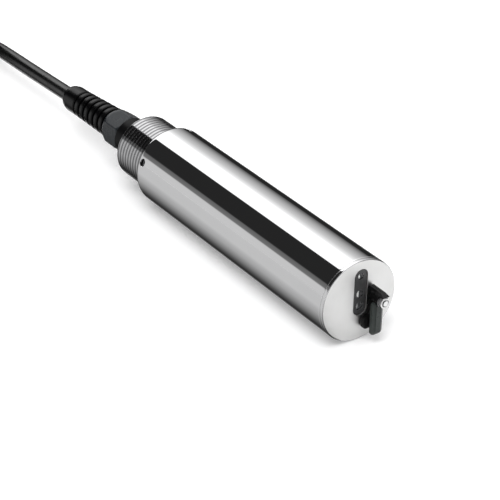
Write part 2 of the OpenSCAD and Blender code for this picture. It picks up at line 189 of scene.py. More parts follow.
MAT = {
    "polished_steel": surface(
        "polished_steel", (0.60, 0.60, 0.605), 0.026, metal=1, vary=0.015, rough_vary=0.004, cloud=22,
        grain=1.0, grain_stretch=(1400, 30, 30), bump=0.04, depth=0.0000003,
    ),
    "thread_steel": surface(
        "thread_steel", (0.42, 0.42, 0.425), 0.035, metal=1, vary=0.04, rough_vary=0.01, cloud=60,
        grain=1.0, grain_stretch=(1400, 60, 60), bump=0.04, depth=0.0000003,
    ),
    "satin_steel": surface(
        "satin_steel", (0.62, 0.62, 0.615), 0.42, metal=1, vary=0.02, rough_vary=0.03, cloud=60,
        grain=1500, bump=0.08, depth=0.000006,
    ),
    # painted shade: a darker copy of the turned steel, for the tube's rear shoulder and the nut's flats
    "shaded_steel": surface(
        "shaded_steel", (0.30, 0.30, 0.305), 0.2, metal=1, vary=0.03, rough_vary=0.03, cloud=60,
        grain=1.0, grain_stretch=(5200, 90, 90), bump=0.06, depth=0.000001,
    ),
    "rim_light": surface(
        "rim_light", (0.58, 0.58, 0.585), 0.16, metal=1, vary=0.03, rough_vary=0.03, cloud=60,
        grain=1.0, grain_stretch=(5200, 90, 90), bump=0.06, depth=0.000001,
    ),
    "bright_steel": surface(
        "bright_steel", (0.62, 0.62, 0.62), 0.09, metal=1, vary=0.03, rough_vary=0.02, cloud=300,
        grain=2600, bump=0.05, depth=0.000002,
    ),
    # painted shade: dark steel for the grub screws in their deep holes and for the washer between hub and nut
    "shaded_dark_steel": surface(
        "shaded_dark_steel", (0.15, 0.15, 0.155), 0.32, metal=1, vary=0.1, rough_vary=0.05, cloud=400,
        grain=3000, bump=0.1, depth=0.000004,
    ),
    # painted highlights: bright crescents under the lens glasses, with a dimmer one under the lower eye
    "painted_highlight": surface(
        "painted_highlight", (0.90, 0.90, 0.88), 0.35, vary=0.02, cloud=400, grain=2600, bump=0.04, depth=0.000003,
    ),
    "lens_back": surface(
        "lens_back", (0.06, 0.06, 0.062), 0.5, vary=0.05, cloud=400, grain=2600, bump=0.04, depth=0.000003,
    ),
    "painted_highlight_dim": surface(
        "painted_highlight_dim", (0.34, 0.34, 0.34), 0.35, vary=0.03, cloud=400, grain=2600, bump=0.04, depth=0.000003,
    ),
    "bracket_metal": surface("bracket_metal", (0.66, 0.67, 0.69), 0.32, metal=1, vary=0.05, grain=2200, bump=0.2),
    "bronze": surface("bronze", (0.62, 0.42, 0.20), 0.36, metal=1, vary=0.12, grain=3800, bump=0.35),
    "motor_metal": surface("motor_metal", (0.55, 0.55, 0.57), 0.26, metal=1, vary=0.06, grain=1800, bump=0.15),
    "window_black": surface(
        "window_black", (0.046, 0.0465, 0.047), 0.32, spec=0.3, vary=0.18, rough_vary=0.04, cloud=260,
        grain=2400, bump=0.06, depth=0.00001,
    ),
    "window_glass": surface(
        "window_glass", (0.85, 0.87, 0.875), 0.03, spec=0.5, vary=0.02, rough_vary=0.01, cloud=300,
        grain=1500, bump=0.02, depth=0.000003, transmission=1.0, ior=1.12, coat=0.35,
    ),
    "optics_black": surface("optics_black", (0.014, 0.014, 0.014), 0.7, vary=0.2, grain=3200, bump=0.3),
    "lamp_resin": surface(
        "lamp_resin", (0.92, 0.90, 0.78), 0.12, vary=0.04, grain=1500, bump=0.04, transmission=0.55
    ),
    "sensor_resin": surface("sensor_resin", (0.10, 0.09, 0.15), 0.15, vary=0.1, grain=1500, bump=0.04),
    "seal_rubber": surface("seal_rubber", (0.014, 0.014, 0.014), 0.6, vary=0.25, grain=2400, bump=0.25, sheen=0.1),
    "wiper_black": surface(
        "wiper_black", (0.0032, 0.0033, 0.0033), 0.22, spec=0.24, vary=0.25, rough_vary=0.06, cloud=260, grain=3600, bump=0.18,
        depth=0.00002,
    ),
    "wiper_rubber": surface(
        "wiper_rubber", (0.006, 0.006, 0.0059), 0.40, spec=0.16, vary=0.25, rough_vary=0.08, cloud=300, grain=2800,
        bump=0.25,
    ),
    "wiper_grey": surface(
        "wiper_grey", (0.025, 0.030, 0.028), 0.32, spec=0.24, vary=0.14, rough_vary=0.06, cloud=260, grain=3600, bump=0.2,
        depth=0.00002,
    ),
    "gland_black": surface(
        "gland_black", (0.002, 0.002, 0.0022), 0.34, spec=0.07, vary=0.2, cloud=160, grain=2800, bump=0.2, depth=0.00002
    ),
    "gland_grey": surface(
        "gland_grey", (0.0095, 0.012, 0.0145), 0.30, spec=0.30, vary=0.10, rough_vary=0.06, cloud=140, grain=2600, bump=0.22,
        depth=0.000025, dust=0.004,
    ),
    "boot_rubber": surface(
        "boot_rubber", (0.001, 0.001, 0.0012), 0.24, spec=0.17, vary=0.25, rough_vary=0.07, cloud=120, grain=2400, bump=0.2,
        depth=0.00002, dust=0.0015,
    ),
    "cable_jacket": surface(
        "cable_jacket", (0.0034, 0.0034, 0.0036), 0.24, spec=0.42, vary=0.25, rough_vary=0.08, cloud=70, grain=1900, bump=0.22,
        depth=0.00003, dust=0.002,
    ),
    "tie_fabric": surface(
        "tie_fabric", (0.020, 0.020, 0.021), 0.85, vary=0.3, cloud=500, weave=520, bump=0.9, depth=0.0002, sheen=0.5
    ),
    "board_green": surface(
        "board_green", (0.010, 0.085, 0.036), 0.32, vary=0.15, cloud=240, grain=1800, bump=0.15, coat=0.3
    ),
    "board_plastic": surface("board_plastic", (0.022, 0.022, 0.022), 0.5, vary=0.2, grain=3000, bump=0.25),
    "lead_insulation": surface("lead_insulation", (0.66, 0.66, 0.62), 0.42, vary=0.05, grain=2400, bump=0.1),
    "contact_gold": surface(
        "contact_gold", (0.83, 0.58, 0.22), 0.18, metal=1, vary=0.06, rough_vary=0.05, cloud=600, grain=3000, bump=0.08
    ),
}
for _row in frame["record"]["subparts"]:
    _o = frame["nodes"].get(_row["node"])
    if _o:
        _o.data.materials.clear()
        _o.data.materials.append(MAT[_row["material_slot"]])


# ---------------------------------------------------------------- mesh helpers
def probe(x, y, z):
    x, y, z = np.broadcast_arrays(np.asarray(x, float), y, z)
    return np.stack([FX + x, y, AZ + z], -1)


def pivot(x, y, z):
    return probe(x, np.asarray(y) + PY, np.asarray(z) + PZ)


def circle(r, n, cy=0.0, cz=0.0, a0=0.0):
    t = a0 + 2 * np.pi * np.arange(n) / n
    return np.stack([cy + r * np.cos(t), cz + r * np.sin(t)], -1)


def rrect(w, h, r, n=8, cy=0.0, cz=0.0):
    """A rounded rectangle's outline, with n steps in each corner."""
    r = max(min(r, w / 2 - 1e-3, h / 2 - 1e-3), 0.02)
    out = []
    for k, (sy, sz) in enumerate(((1, 1), (-1, 1), (-1, -1), (1, -1))):
        for j in range(n + 1):
            t = np.pi / 2 * (k + j / n)
            out.append((cy + sy * (w / 2 - r) + r * np.cos(t), cz + sz * (h / 2 - r) + r * np.sin(t)))
    return np.array(out)


def obround(w, h, n=24, cy=0.0, cz=0.0):
    """An upright slot's outline with round ends."""
    r = w / 2
    t = np.pi * np.arange(n + 1) / n
    up = np.stack([cy + r * np.cos(t), cz + (h / 2 - r) + r * np.sin(t)], -1)
    down = np.stack([cy - r * np.cos(t), cz - (h / 2 - r) - r * np.sin(t)], -1)
    return np.concatenate([up, down])


def rounded(points, default=0.4, seg=4):
    """A closed outline with rounded corners. A point is (a, b) or (a, b, radius)."""
    out, n = [], len(points)
    for i, p in enumerate(points):
        rad = p[2] if len(p) > 2 else default
        here = np.array(p[:2], float)
        u = np.array(points[i - 1][:2], float) - here
        v = np.array(points[(i + 1) % n][:2], float) - here
        lu, lv = np.linalg.norm(u), np.linalg.norm(v)
        u, v = u / lu, v / lv
        ang = math.acos(max(-1.0, min(1.0, float(u @ v))))
        if rad <= 0 or ang > math.pi - 0.03:
            out.append(here)
            continue
        d = min(rad / math.tan(ang / 2), 0.48 * lu, 0.48 * lv)
        rr = d * math.tan(ang / 2)
        c = here + (u + v) / np.linalg.norm(u + v) * rr / math.sin(ang / 2)
        s, e = here + u * d - c, here + v * d - c
        t0, t1 = math.atan2(s[1], s[0]), math.atan2(e[1], e[0])
        dt = (t1 - t0 + math.pi) % (2 * math.pi) - math.pi
        for j in range(seg + 1):
            t = t0 + dt * j / seg
            out.append(c + rr * np.array((math.cos(t), math.sin(t))))
    return np.array(out)


def loft(rings, closed=False, caps=True):
    """Skins rings of equal length. closed joins the last ring to the first."""
    rings = [np.asarray(r, float) for r in rings]
    n, m = len(rings[0]), len(rings)
    verts = np.concatenate(rings)
    faces = []
    for i in range(m if closed else m - 1):
        a, b = i * n, ((i + 1) % m) * n
        faces += [(a + k, a + (k + 1) % n, b + (k + 1) % n, b + k) for k in range(n)]
    if caps and not closed:
        faces += [tuple(range(n)), tuple(range((m - 1) * n, m * n))]
    return verts, faces


def lathe(profile, place, n=96, closed=True, wave=None):
    """Turns a profile of (x, r) points. A profile that starts and ends at r = 0 is a solid."""
    t = 2 * np.pi * np.arange(n) / n
    rings = []
    for x, r in profile:
        rr = np.full(n, float(r)) if wave is None else wave(x, float(r), t)
        rings.append(place(np.full(n, x), rr * np.cos(t), rr * np.sin(t)))
    return loft(rings, closed=closed, caps=False)


def plate(outer, holes, place):
    """A flat piece with holes. outer and each hole are lists of (x, outline) from the front edge to the back edge."""
    verts, faces, at = [], [], 0
    starts = []
    for rings in [outer, *holes]:
        v, f = loft([place(np.full(len(o), x), o[:, 0], o[:, 1]) for x, o in rings], caps=False)
        n, m = len(rings[0][1]), len(rings)
        faces += [tuple(at + k for k in q) for q in f]
        starts.append((at, at + (m - 1) * n, n))
        verts.append(v)
        at += len(v)
    for which in (0, 1):
        loops = [[Vector((*rings[-which][1][k], 0)) for k in range(len(rings[0][1]))] for rings in [outer, *holes]]
        index = [s[which] + k for s in starts for k in range(s[2])]
        faces += [tuple(index[k] for k in tri) for tri in tessellate_polygon(loops)]
    return np.concatenate(verts), faces


def join(*parts):
    verts, faces, at = [], [], 0
    for v, f in parts:
        verts.append(v)
        faces += [tuple(at + k for k in q) for q in f]
        at += len(v)
    return np.concatenate(verts), faces


def make(name, shape, material, body, replaces=(), sharp=38, merge=0.002, bevel=None, weighted=True):
    verts, faces = shape
    me = bpy.data.meshes.new(name)
    me.from_pydata((np.asarray(verts) * MM).tolist(), [], faces)
    bm = bmesh.new()
    bm.from_mesh(me)
    if merge:
        bmesh.ops.remove_doubles(bm, verts=bm.verts, dist=merge * MM)
    bad = [f for f in bm.faces if f.calc_area() < 1e-14]
    if bad:
        bmesh.ops.dissolve_degenerate(bm, dist=1e-7, edges=bm.edges)
    bmesh.ops.recalc_face_normals(bm, faces=bm.faces)
    bm.to_mesh(me)
    bm.free()
    me.shade_smooth()
    me.set_sharp_from_angle(angle=math.radians(sharp))
    o = bpy.data.objects.new(name, me)
    scene.collection.objects.link(o)
    me.materials.append(material)
    if bevel:
        b = o.modifiers.new("bevel", "BEVEL")
        b.width, b.segments, b.limit_method, b.angle_limit = bevel * MM, 4, "ANGLE", math.radians(40)
        b.harden_normals = False
        me.shade_smooth()
        me.set_sharp_from_angle(angle=math.radians(180))
    if weighted:
        w = o.modifiers.new("normals", "WEIGHTED_NORMAL")
        w.keep_sharp, w.weight = True, 60
    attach(o, body)
    if replaces:
        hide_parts(*replaces)
    return o


# ---------------------------------------------------------------- cable
CABLE_D = 12.0
HANK_RUN = 105.0
HANK_FRONT, HANK_Y, HANK_Z = -442.0, -36.0, 1.4
PLUG_X, PLUG_Y, PLUG_Z = HANK_FRONT - 6, HANK_Y + 48, HANK_Z + 7 * CABLE_D + 12.4
ROUTE = [
    (-196, 0, 27), (-230, 0, 25.5), (-264, 0, 24), (-292, 0, 23), (-316, 0.5, 21.5), (-344, 3.5, 17),
    (-376, 11, 11.5), (-404, 19, 7.9), (-426, 23, 7.4), (HANK_FRONT, 24, 7.4),
]


def ease(t):
    return 0.5 - 0.5 * math.cos(math.pi * t)


def cable_line():
    """The cable from the boot, round the hank in seven layers of nearly three turns, to the plug."""
    p = np.array(ROUTE, float)
    out, n = [], len(p) - 1
    for i in range(n):
        a, b, c, d = p[max(0, i - 1)], p[i], p[i + 1], p[min(n, i + 2)]
        for k in range(6):
            t = k / 6
            out.append(
                0.5 * (2 * b + (c - a) * t + (2 * a - 5 * b + 4 * c - d) * t**2 + (3 * b - a - 3 * c + d) * t**3)
            )
    shift = {16 * layer + k: (1 if layer % 2 == 0 else -1) for layer in range(7) for k in (5, 11)}
    climb = {16 * (k + 1) for k in range(7)}
    z0, rear, half = HANK_Z + CABLE_D / 2, HANK_FRONT - HANK_RUN, HANK_RUN / 2
    lane = layer = 0.0
    for w in range(113):
        kind, dl, dz = w % 6, shift.get(w, 0), 1 if w in climb else 0
        steps = 18 if kind in (2, 5) else 7
        for k in range(steps):
            t = k / steps
            s = ease(t)
            r = 60 - CABLE_D * (lane + dl * s)
            z = z0 + CABLE_D * (layer + dz * s) + (1.4 * s if w == 112 else 0)
            a = math.pi * t
            out.append(
                np.array(
                    {
                        0: (HANK_FRONT - half * t, HANK_Y + r, z),
                        1: (HANK_FRONT - half * (1 + t), HANK_Y + r, z),
                        2: (rear - r * math.sin(a), HANK_Y + r * math.cos(a), z),
                        3: (rear + half * t, HANK_Y - r, z),
                        4: (rear + half * (1 + t), HANK_Y - r, z),
                        5: (HANK_FRONT + r * math.sin(a), HANK_Y - r * math.cos(a), z),
                    }[kind]
                )
            )
        lane, layer = lane + dl, layer + dz
    top = z0 + CABLE_D * 7 + 1.4
    for k in range(24):
        t = k / 24
        a, r = math.pi * t, 36 + 12 * ease(t)
        z = top + (PLUG_Z - top) * ease(max(0.0, t - 0.5) * 2)
        out.append(np.array((HANK_FRONT + r * math.sin(a), HANK_Y - r * math.cos(a), z)))
    out += [np.array((HANK_FRONT - d, PLUG_Y, PLUG_Z)) for d in (0.0, 6.0, 16.0)]
    return np.array(out)


def make_cable():
    line = cable_line()
    cu = bpy.data.curves.new("cable", "CURVE")
    cu.dimensions = "3D"
    sp = cu.splines.new("POLY")
    sp.points.add(len(line) - 1)
    sp.points.foreach_set("co", np.hstack([line * MM, np.ones((len(line), 1))]).ravel())
    sp.use_smooth = True
    cu.bevel_depth = CABLE_D / 2 * MM
    cu.bevel_resolution = 6
    cu.use_fill_caps = True
    cu.materials.append(MAT["cable_jacket"])
    o = bpy.data.objects.new("cable", cu)
    scene.collection.objects.link(o)
    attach(o, "probe")
    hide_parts("cable_run", "cable_hank", "cable_tail")
    return o, float(np.linalg.norm(np.diff(line, axis=0), axis=1).sum() * MM)


cable, cable_length = make_cable()


def make_tie(name, x, y):
    """A woven strap round one leg of the hank, with its hooked tab lapped down the outer side."""
    w, h, t, wide, z0 = 36.2, 84.2, 1.2, 18.0, 1.3
    cz = z0 + h / 2

    def at(offset, r):
        return rrect(w + 2 * offset, h + 2 * offset, r, 8, y, cz)

    levels = [(-1, 0.25), (-1, 0.95), (-0.96, 1.2), (0.96, 1.2), (1, 0.95), (1, 0.25), (0.96, 0.0), (-0.96, 0.0)]
    rings = []
    for side, up in levels:
        o = at(up, 6.2 + up)
        rings.append(np.stack([np.full(len(o), x + side * wide / 2), o[:, 0], o[:, 1]], -1))
    strap = loft(rings, closed=True)
    # the tab on the side away from the hank's middle, bowed slightly at its free end
    s = 1 if y > HANK_Y else -1
    tab = []
    for k in range(15):
        u = k / 14
        z = 72 - 46 * u
        half = wide / 2 - 0.5 - (0 if u < 0.86 else 5.0 * ((u - 0.86) / 0.14) ** 2)
        lift = 0.12 + 0.9 * max(0.0, u - 0.82) / 0.18 * 0.5
        base = y + s * (w / 2 + t)
        tab.append(
            np.array(
                [
                    (x - half, base + s * lift, z), (x - half, base + s * (lift + 0.8), z),
                    (x - half + 0.4, base + s * (lift + 1.0), z), (x + half - 0.4, base + s * (lift + 1.0), z),
                    (x + half, base + s * (lift + 0.8), z), (x + half, base + s * lift, z),
                ]
            )
        )
    o = make(name, join(strap, loft(tab)), MAT["tie_fabric"], "probe", ["hank_ties"], sharp=50)
    return o


def plug(s, a, b):
    """The plug's own coordinates: s runs out of the hank's front towards -X."""
    s, a, b = np.broadcast_arrays(np.asarray(s, float), a, b)
    return np.stack([PLUG_X - s, PLUG_Y + a, PLUG_Z + b], -1)


def make_plug():
    made = []
    # ribbed bend relief
    prof = [(20.0, 9.5, 0.2), (20.0, 6.0, 0.2), (0.0, 6.05, 0.2), (0.0, 7.5, 0.9)]
    for i in range(4):
        a, r = 2 + 4.5 * i, 8.5 + 0.4 * i
        core = 7.55 + 0.44 * i
        prof += [(a - 0.1, core, 0.4), (a + 0.1, r, 0.6), (a + 2.3, r, 0.6), (a + 2.5, core + 0.15, 0.4)]
    prof += [(19.2, 9.4, 0.4)]
    made.append(
        make("plug_relief", lathe(rounded(prof, 0.3), plug, 64), MAT["boot_rubber"], "probe", ["plug_boot"])
    )

    # body, fluted for grip, with a raised band round it
    def flute(x, r, t):
        if 23.2 < x < 31.2 and r > 9.6:
            return r - 0.35 * (0.5 + 0.5 * np.cos(20 * t))
        return np.full_like(t, r)

    prof = [
        (20, 8.0, 0.3), (20, 10, 0.6), (23, 10, 0.1), (23.3, 10, 0), (25, 10, 0), (27, 10, 0), (29, 10, 0), (31.1, 10, 0),
        (31.5, 10, 0.1), (31.9, 10, 0.2), (32, 10.75, 0.4), (35, 10.75, 0.4), (35.2, 10, 0.2), (44, 10, 0.4),
        (46.6, 10, 0.4), (47.1, 9.5, 0.2), (66.9, 9.5, 0.4), (66.9, 8.06, 0.25), (57.9, 8.06, 0.1), (57.9, 6.4, 0.2), (20, 6.4, 0.2),
    ]
    made.append(
        make(
            "plug_shell", lathe(rounded(prof, 0.3), plug, 120, wave=flute), MAT["gland_black"], "probe",
            ["plug_body"],
        )
    )
    prof = [(58.05, 0), (58.05, 7.6), (58.3, 7.95), (66.5, 7.95), (66.95, 7.6), (66.95, 6.9), (66.4, 6.6), (66.4, 0)]
    made.append(
        make("plug_face", lathe(prof, plug, 64, closed=False), MAT["board_plastic"], "probe", ["plug_insert"])
    )
    pins = []
    for k in range(7):
        cy, cz = (0.0, 0.0) if k == 6 else (4.6 * math.cos(math.pi / 3 * k), 4.6 * math.sin(math.pi / 3 * k))

        def on(s, a, b, cy=cy, cz=cz):
            return plug(s, np.asarray(a) + cy, np.asarray(b) + cz)

        pins.append(
            lathe([(66.3, 0), (66.3, 0.8), (67.2, 0.8), (67.42, 0.66), (67.54, 0.4), (67.58, 0)], on, 20, closed=False)
        )
    made.append(make("plug_pins", join(*pins), MAT["contact_gold"], "probe", ["plug_contacts"]))
    t = 2 * np.pi * np.arange(16) / 16
    made.append(
        make(
            "plug_oring", lathe(np.stack([67.78 + 0.78 * np.cos(t), 9.02 + 0.78 * np.sin(t)], -1), plug, 64),
            MAT["seal_rubber"], "probe", ["plug_seal"],
        )
    )

    def knurl(x, r, t):
        if r > 11.7:
            return r - 0.42 * (0.5 + 0.5 * np.cos(30 * t)) ** 1.5
        return np.full_like(t, r)

    prof = [
        (47.4, 9.58, 0.2), (47.4, 11.1, 0.35), (49.2, 11.4, 0.15), (49.6, 12, 0.3), (52, 12, 0), (56, 12, 0), (60, 12, 0),
        (64.0, 12, 0.3), (64.4, 11.4, 0.15), (68.9, 11.4, 0.5), (68.9, 10.55, 0.25), (66.2, 10.5, 0.1), (66.2, 9.58, 0.1),
    ]
    made.append(
        make(
            "plug_collar_ring", lathe(rounded(prof, 0.25), plug, 240, wave=knurl), MAT["bright_steel"], "plug_collar",
            ["plug_ring"],
        )
    )
    return made


rear_x = HANK_FRONT - HANK_RUN
tie_pieces = [make_tie("hank_tie_a", rear_x + 14, HANK_Y + 48), make_tie("hank_tie_b", rear_x + 28, HANK_Y - 48)]
plug_pieces = make_plug()


# ---------------------------------------------------------------- housing tube
BODY_R, REAR, SHOULDER = 30.0, -230.0, 4.0
SCREW_X, SCREW_R, SCREW_A = -223.5, 2.8, (67.5, 157.5, 247.5, 337.5)


def tube_radius(x):
    x = np.asarray(x, float)
    d = np.clip(REAR + SHOULDER - x, 0, SHOULDER)
    return BODY_R - SHOULDER + np.sqrt(SHOULDER**2 - d**2)


def sheet(rows, radius, cols=240, half=3.9):
    """A turned skin with round holes for the set screws. Returns its points, faces and the holes' edge rings."""
    step = 360 / cols
    ang = np.radians(np.arange(cols) * step)
    rr = radius(rows)
    verts = [probe(np.full(cols, x), r * np.cos(ang), r * np.sin(ang)) for x, r in zip(rows, rr)]
    verts = list(np.concatenate(verts))
    skip, rims = set(), []
    i0 = int(np.argmin(np.abs(rows - (SCREW_X - half))))
    i1 = int(np.argmin(np.abs(rows - (SCREW_X + half))))
    faces = []
    hole_rings = []
    for a in SCREW_A:
        j0, j1 = round((a - 7.5) / step), round((a + 7.5) / step)
        for i in range(i0, i1):
            skip |= {(i, j % cols) for j in range(j0, j1)}
        edge = (
            [(i, j1) for i in range(i0, i1)] + [(i1, j) for j in range(j1, j0, -1)]
            + [(i, j0) for i in range(i1, i0, -1)] + [(i0, j) for j in range(j0, j1)]
        )
        ac = math.radians(a)
        nrm, tan = np.array((math.cos(ac), math.sin(ac))), np.array((-math.sin(ac), math.cos(ac)))
        outer = [i * cols + j % cols for i, j in edge]
        uv = []
        for i, j in edge:
            r = rr[i]
            uv.append((rows[i] - SCREW_X, r * math.sin(math.radians(j * step) - ac)))
        uv = np.array(uv)
        way = uv / np.linalg.norm(uv, axis=1)[:, None]
        last = outer
        for mix, rad in ((0.4, SCREW_R + 0.28), (0.75, SCREW_R + 0.28), (1.0, SCREW_R + 0.28)):
            q = uv * (1 - mix) + way * rad * mix
            r = radius(SCREW_X + q[:, 0])
            h = np.sqrt(np.maximum(r**2 - q[:, 1] ** 2, 0))
            yz = h[:, None] * nrm + q[:, 1:2] * tan
            start = len(verts)
            verts += list(probe(SCREW_X + q[:, 0], yz[:, 0], yz[:, 1]))
            ids = list(range(start, start + len(q)))
            n = len(ids)
            faces += [(last[k], last[(k + 1) % n], ids[(k + 1) % n], ids[k]) for k in range(n)]
            last = ids
        hole_rings.append((last, way, nrm, tan))
    for i in range(len(rows) - 1):
        for j in range(cols):
            if (i, j) not in skip:
                k = (j + 1) % cols
                faces.append((i * cols + j, i * cols + k, (i + 1) * cols + k, (i + 1) * cols + j))
    return verts, faces, hole_rings


def make_tube():
    t = np.radians([90, 82, 74, 66, 58, 50, 42, 34, 27])
    fillet = REAR + SHOULDER - SHOULDER * np.sin(t)
    half = 3.9
    patch = np.linspace(SCREW_X - half, SCREW_X + half, 11)
    mid = np.concatenate([[-217.5, -213], np.linspace(-208, -8, 26), [-5, -3.7]])
    rows = np.concatenate([fillet, patch, mid])
    v1, f1, h1 = sheet(rows, tube_radius)
    inner_rows = np.concatenate([[REAR, -228.8], patch, [-215, -204.0]])
    v2, f2, h2 = sheet(inner_rows, lambda x: np.full(np.shape(x), 25.5))
    off = len(v1)
    verts = v1 + v2
    faces = f1 + [tuple(off + k for k in q) for q in f2]
    # walls of the screw holes, each with a small chamfer
    for (a, way, nrm, tan), (b, _, _, _) in zip(h1, h2):
        q = way * SCREW_R
        r = tube_radius(SCREW_X + q[:, 0]) - 0.26
        h = np.sqrt(r**2 - q[:, 1] ** 2)
        yz = h[:, None] * nrm + q[:, 1:2] * tan
        start = len(verts)
        verts += list(probe(SCREW_X + q[:, 0], yz[:, 0], yz[:, 1]))
        mid_ids = list(range(start, start + len(q)))
        low = [off + k for k in b]
        n = len(mid_ids)
        faces += [(a[k], a[(k + 1) % n], mid_ids[(k + 1) % n], mid_ids[k]) for k in range(n)]
        faces += [(mid_ids[k], mid_ids[(k + 1) % n], low[(k + 1) % n], low[k]) for k in range(n)]
    # the ends: the seam's chamfer and the bore in front, the thick rear end's face behind
    cols = 240
    ang = 2 * np.pi * np.arange(cols) / cols
    prof = [(-3.7, 30), (-3.25, 29.98), (-3.06, 29.88), (-2.93, 29.7), (-2.9, 29.5), (-2.9, 27.2), (-3.1, 27.0), (-204, 27.0), (-204, 25.5)]
    front = loft([probe(np.full(cols, x), r * np.cos(ang), r * np.sin(ang)) for x, r in prof], caps=False)
    back = loft([probe(np.full(cols, x), r * np.cos(ang), r * np.sin(ang)) for x, r in [(REAR, 26.0), (REAR, 25.5)]], caps=False)
    shape = join((np.array(verts), faces), front, back)
    o = make("tube", shape, MAT["polished_steel"], "probe", ["housing_tube"], sharp=32, merge=0.004)
    # the turned shoulder at the rear gets a darker copy of the steel: painted shade that dims its bright reflection
    o.data.materials.append(MAT["shaded_steel"])
    for p in o.data.polygons:
        if p.normal.x < -0.3 and p.center.x < (FX + REAR + 4) * MM:
            p.material_index = 1


make_tube()


def make_set_screws():
    parts = []
    for a in SCREW_A:
        ac = math.radians(a)

        def place(h, u, s, ac=ac):
            h, u, s = np.broadcast_arrays(np.asarray(h, float), u, s)
            return probe(SCREW_X + u, h * math.cos(ac) - s * math.sin(ac), h * math.sin(ac) + s * math.cos(ac))

        hexo = np.array([1.45 / max(abs(math.cos((t + math.pi / 6) % (math.pi / 3) - math.pi / 6)), 0.1) * math.cos(math.pi / 6) for t in 2 * np.pi * np.arange(48) / 48])
        t = 2 * np.pi * np.arange(48) / 48
        hexl = np.stack([hexo * np.cos(t), hexo * np.sin(t)], -1)
        outer = [(28.0, circle(2.15, 48)), (27.9, circle(2.3, 48)), (27.6, circle(2.42, 48)), (19.5, circle(2.42, 48))]
        hole = [(28.0, hexl * 1.12), (27.85, hexl), (25.2, hexl), (25.0, hexl * 0.6)]
        # the socket's floor closes it
        v, f = plate_blind(outer, hole, place)
        parts.append((v, f))
    # the screws' dark steel is painted shade of the deep holes
    make("grub_screws", join(*parts), MAT["shaded_dark_steel"], "probe", ["set_screws"], merge=0.001)


def plate_blind(outer, hole, place):
    """A stub with a blind socket in its front."""
    n = len(outer[0][1])
    rings = [place(np.full(n, x), o[:, 0], o[:, 1]) for x, o in [*hole[::-1], *outer]]
    return loft(rings, caps=True)


make_set_screws()


# ---------------------------------------------------------------- front cap and windows
PLATE_Y, PLATE_Z, LAMP_Z, EYE_Z = 0.9, 5.9, 17.6, (4.3, -4.8)


def make_cap():
    def ob(grow):
        return obround(10.7 + 2 * grow, 34.7 + 2 * grow, 32, PLATE_Y, PLATE_Z)

    def hole(r):
        return circle(r, 40, PY, PZ)

    outer = [
        (0.0, circle(29.0, 192)), (-0.10, circle(29.32, 192)), (-0.34, circle(29.72, 192)), (-0.66, circle(29.95, 192)),
        (-0.95, circle(30, 192)), (-2.45, circle(30, 192)), (-2.68, circle(29.9, 192)), (-2.8, circle(29.65, 192)),
    ]
    slot_edge = [(0.0, ob(0.14)), (-0.03, ob(0.07)), (-0.1, ob(0.02)), (-0.25, ob(0.0)), (-2.8, ob(0.0))]
    shaft = [(0.0, hole(2.35)), (-0.06, hole(2.32)), (-0.3, hole(2.32)), (-2.8, hole(2.32))]
    face = plate(outer, [slot_edge, shaft], probe)
    spigot = lathe(
        rounded([(-2.9, 22.95, 0.1), (-2.9, 26.9, 0.1), (-7.6, 26.9, 0.2), (-7.6, 25.1, 0.2), (-10.4, 25.1, 0.2), (-10.4, 26.9, 0.2), (-18, 26.9, 0.5), (-18, 22.95, 0.3)]),
        probe, 160,
    )
    o = make("sensing_face", join(face, spigot), MAT["satin_steel"], "probe", ["front_cap"], sharp=40, merge=0.0005)
    # the side is polished like the tube, and the turned edge is a little softer
    o.data.materials.append(MAT["polished_steel"])
    o.data.materials.append(MAT["rim_light"])
    for p in o.data.polygons:
        if abs(p.normal.x) < 0.985 and p.center.x > (FX - 2.9) * MM and math.hypot(p.center.y, p.center.z - AZ * MM) > 28.9 * MM:
            p.material_index = 1 if abs(p.normal.x) < 0.2 else 2


make_cap()


